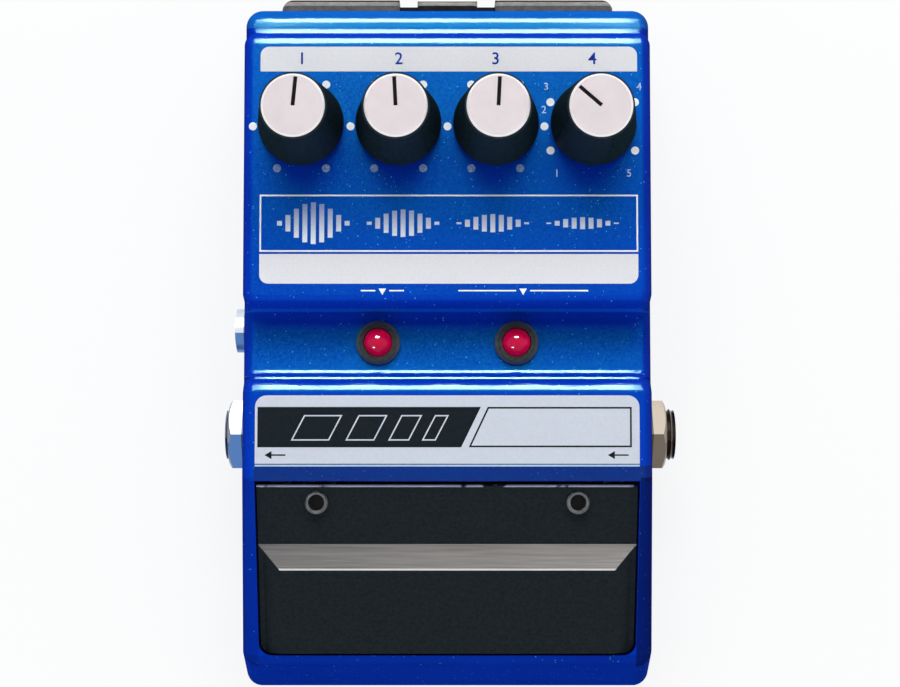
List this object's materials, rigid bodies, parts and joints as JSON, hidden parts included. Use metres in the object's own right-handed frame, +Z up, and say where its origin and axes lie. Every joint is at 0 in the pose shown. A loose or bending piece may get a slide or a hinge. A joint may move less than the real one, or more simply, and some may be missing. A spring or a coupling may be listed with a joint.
{
  "type": "delay effects pedal",
  "caption": "Compact foot pedal for guitar with a hinged treadle, knobs on a raised panel, indicator lamps and side sockets.",
  "frame": {"origin": "on the floor, midway between the front of the case and the rear bumpers, on the case's middle plane", "axes": "+X to the player's right, +Y to the rear, +Z up"},
  "size_m": [0.0813, 0.127, 0.0547],
  "materials": {
    "blue_casting": "pearl blue with fine flake",
    "zinc_sheet": "zinc-plated sheet",
    "black_rubber": "matt moulded",
    "dark_screw": "zinc-plated",
    "dark_treadle": "near-black satin",
    "plunger_steel": "turned",
    "spring_steel": "drawn wire",
    "board": "green lacquer",
    "black_plastic": "moulded",
    "switch_button": "moulded",
    "battery_can": "satin",
    "snap_vinyl": "soft",
    "lead_vinyl": "insulated wire",
    "control_can": "stamped",
    "shaft_metal": "turned",
    "knob_black": "satin moulded",
    "cap_aluminium": "satin with a bright rim",
    "nickel": "nickel plated",
    "lamp_red": "clear red dome",
    "bezel_grey": "dark ring",
    "tinned_wire": "tinned",
    "chip_black": "moulded",
    "capacitor_sleeve": "sleeve"
  },
  "bodies": {
    "case": {"die_cast_housing": "blue_casting", "bottom_plate": "zinc_sheet", "rubber_sole": "black_rubber", "bottom_screws": "dark_screw", "treadle_springs": "spring_steel", "footswitch_board": "board", "main_board": "board", "dial_board": "board", "footswitch_body": "black_plastic", "input_socket_body": "black_plastic", "output_socket_body": "black_plastic", "power_socket_body": "black_plastic", "board_link": "black_plastic", "battery": "battery_can", "battery_snap": "snap_vinyl", "battery_leads": "lead_vinyl", "dial_body_1": "control_can", "dial_body_2": "control_can", "dial_body_3": "control_can", "selector_switch_body": "control_can", "dial_nuts": "nickel", "input_socket_bushing": "nickel", "output_socket_bushing": "nickel", "socket_nuts": "nickel", "power_socket_bushing": "nickel", "power_socket_nut": "nickel", "lamp_left": "lamp_red", "lamp_right": "lamp_red", "lamp_bezel_left": "bezel_grey", "lamp_bezel_right": "bezel_grey", "lamp_legs": "tinned_wire", "socket_pins": "tinned_wire", "chips": "chip_black", "capacitors": "capacitor_sleeve"},
    "treadle": {"treadle": "dark_treadle", "plunger_retainers": "plunger_steel", "plunger_spring_left": "spring_steel", "plunger_spring_right": "spring_steel"},
    "release_left": {"release_plunger_left": "plunger_steel"},
    "release_right": {"release_plunger_right": "plunger_steel"},
    "foot_switch": {"footswitch_plunger": "switch_button"},
    "dial_1": {"dial_1_shaft": "shaft_metal", "dial_1_knob": "knob_black", "dial_1_cap": "cap_aluminium"},
    "dial_2": {"dial_2_shaft": "shaft_metal", "dial_2_knob": "knob_black", "dial_2_cap": "cap_aluminium"},
    "dial_3": {"dial_3_shaft": "shaft_metal", "dial_3_knob": "knob_black", "dial_3_cap": "cap_aluminium"},
    "selector": {"selector_shaft": "shaft_metal", "selector_knob": "knob_black", "selector_cap": "cap_aluminium"}
  },
  "joints": [
    {"name": "treadle_press", "type": "hinge", "parent": "case", "child": "treadle", "pos_m": [0, -0.0283, 0.024], "axis": [1, 0, 0], "range_deg": [0, 2.5], "stiffness_Nm_per_rad": 2.4, "springref_deg": -5.73, "deforming": ["treadle_springs"]},
    {"name": "release_left_press", "type": "slide", "parent": "treadle", "child": "release_left", "axis": [0, 0, -1], "range_m": [0, 0.0018], "stiffness_N_per_m": 400, "springref_m": -0.002, "deforming": ["plunger_spring_left"]},
    {"name": "release_right_press", "type": "slide", "parent": "treadle", "child": "release_right", "axis": [0, 0, -1], "range_m": [0, 0.0018], "stiffness_N_per_m": 400, "springref_m": -0.002, "deforming": ["plunger_spring_right"]},
    {"name": "foot_switch_press", "type": "slide", "parent": "case", "child": "foot_switch", "axis": [0, 0, -1], "range_m": [0, 0.00095], "stiffness_N_per_m": 4, "springref_m": -0.001},
    {"name": "dial_1_turn", "type": "hinge", "parent": "case", "child": "dial_1", "pos_m": [-0.02505, 0.03664, 0.045], "axis": [0, 0, 1], "range_deg": [-144.5, 155.5]},
    {"name": "dial_2_turn", "type": "hinge", "parent": "case", "child": "dial_2", "pos_m": [-0.00835, 0.03664, 0.045], "axis": [0, 0, 1], "range_deg": [-153, 147]},
    {"name": "dial_3_turn", "type": "hinge", "parent": "case", "child": "dial_3", "pos_m": [0.00835, 0.03664, 0.045], "axis": [0, 0, 1], "range_deg": [-147, 153]},
    {"name": "selector_turn", "type": "hinge", "parent": "case", "child": "selector", "pos_m": [0.02505, 0.03664, 0.045], "axis": [0, 0, 1], "range_deg": [-169, 71]}
  ],
  "couplings": [
    {"joint": "foot_switch_press", "follows": "treadle_press", "m_per_rad": 0.0207}
  ]
}
